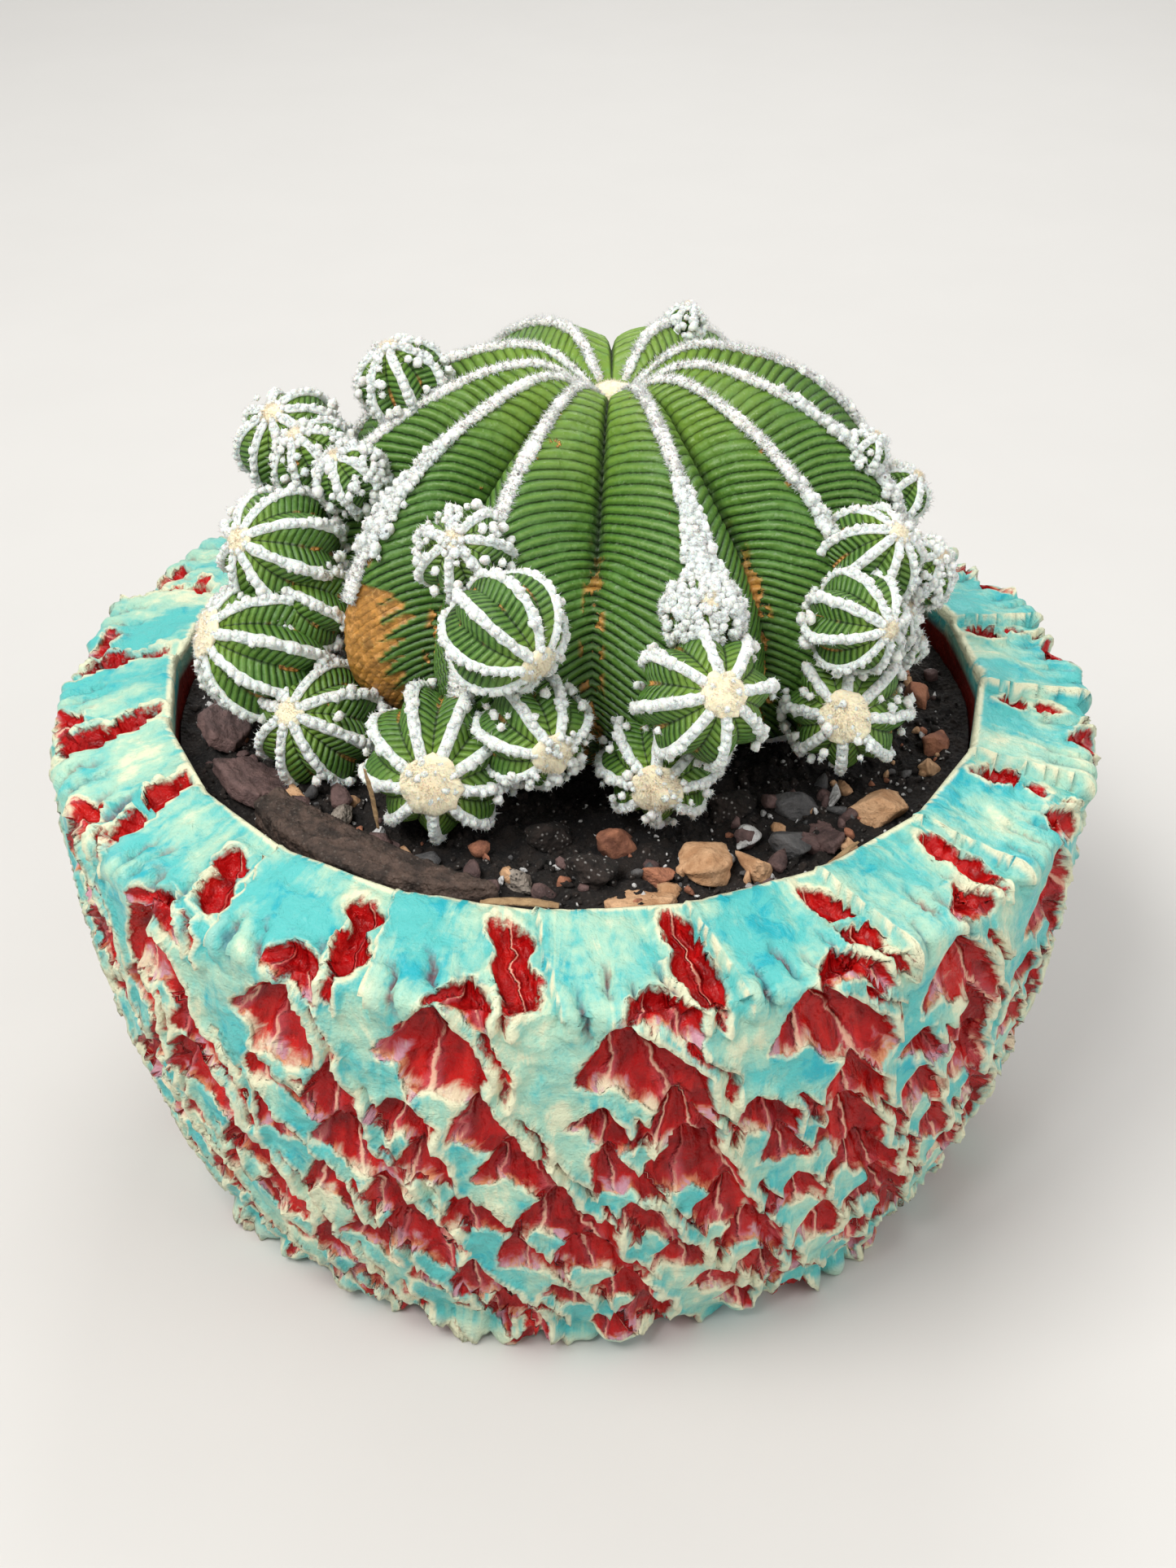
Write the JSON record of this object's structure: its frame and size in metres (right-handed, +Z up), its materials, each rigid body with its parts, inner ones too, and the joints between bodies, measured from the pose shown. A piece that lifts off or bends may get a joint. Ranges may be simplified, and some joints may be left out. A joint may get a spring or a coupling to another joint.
{
  "type": "potted round cactus",
  "caption": "Squat ribbed globe cactus with woolly crests and a ring of small offsets, growing in gritty soil in a drum-shaped hand-carved glazed bowl.",
  "frame": {"origin": "middle of the bowl's underside, on the plane that its foot ring stands on", "axes": "+Z up along the bowl's axis, -Y towards the viewer, +X to the viewer's right"},
  "size_m": [0.17, 0.17, 0.1392],
  "materials": {
    "glaze": "glossy running turquoise and cream glaze over carved clay, with deep red glaze in the gouges and inside",
    "drain_plastic": "matt moulded mesh",
    "soil": "loose dark gritty cactus mix",
    "stem_skin": "satin green skin with fine cross ridges and white felt along the crests",
    "offset_skin": "satin green skin almost hidden by beads of white wool",
    "stone_tan": "rough sandstone grit",
    "stone_rust": "rough red-brown grit",
    "stone_grey": "rough grey grit",
    "stone_pumice": "pitted speckled pumice",
    "perlite": "chalky white expanded grains",
    "soil_clod": "crumbly dark clods",
    "bark": "weathered bark"
  },
  "bodies": {
    "root": {"bark_chip_back": "bark", "bark_chip_left": "bark", "bark_chip_right": "bark", "bark_strip": "bark", "cactus_stem": "stem_skin", "clod_front": "soil_clod", "clod_front_left": "soil_clod", "clod_right": "soil_clod", "crown_bud": "offset_skin", "drain_mesh": "drain_plastic", "front_left_offset_at_soil": "offset_skin", "front_left_offset_low": "offset_skin", "front_left_offset_middle": "offset_skin", "front_left_offset_top": "offset_skin", "front_offset_at_soil": "offset_skin", "front_offset_bud": "offset_skin", "front_offset_star": "offset_skin", "left_offset_at_soil": "offset_skin", "left_offset_bud": "offset_skin", "left_offset_high": "offset_skin", "left_offset_inner_high": "offset_skin", "left_offset_inner_low": "offset_skin", "left_offset_low": "offset_skin", "left_offset_middle": "offset_skin", "left_offset_shoulder": "offset_skin", "perlite_left": "perlite", "perlite_middle": "perlite", "perlite_right": "perlite", "pot": "glaze", "right_offset_back": "offset_skin", "right_offset_bud_high": "offset_skin", "right_offset_bud_low": "offset_skin", "right_offset_high": "offset_skin", "right_offset_inner": "offset_skin", "right_offset_low": "offset_skin", "right_offset_middle": "offset_skin", "right_offset_outer": "offset_skin", "slate_chip_left": "bark", "soil": "soil", "stone_flake_tan": "stone_tan", "stone_grey_behind": "stone_grey", "stone_grey_left": "stone_grey", "stone_grey_round": "stone_grey", "stone_grey_wedge": "stone_grey", "stone_red_back": "stone_rust", "stone_red_front": "stone_rust", "stone_red_side": "stone_rust", "stone_rust_behind": "stone_rust", "stone_shard_tan": "stone_tan", "stone_speckled_front": "stone_pumice", "stone_speckled_left": "stone_pumice", "stone_tan_bead": "stone_tan", "stone_tan_behind": "stone_tan", "stone_tan_large": "stone_tan", "stone_tan_oval": "stone_rust", "stone_tan_side": "stone_tan", "stone_tan_step": "stone_tan", "stone_tan_wedge": "stone_tan"}
  },
  "joints": []
}
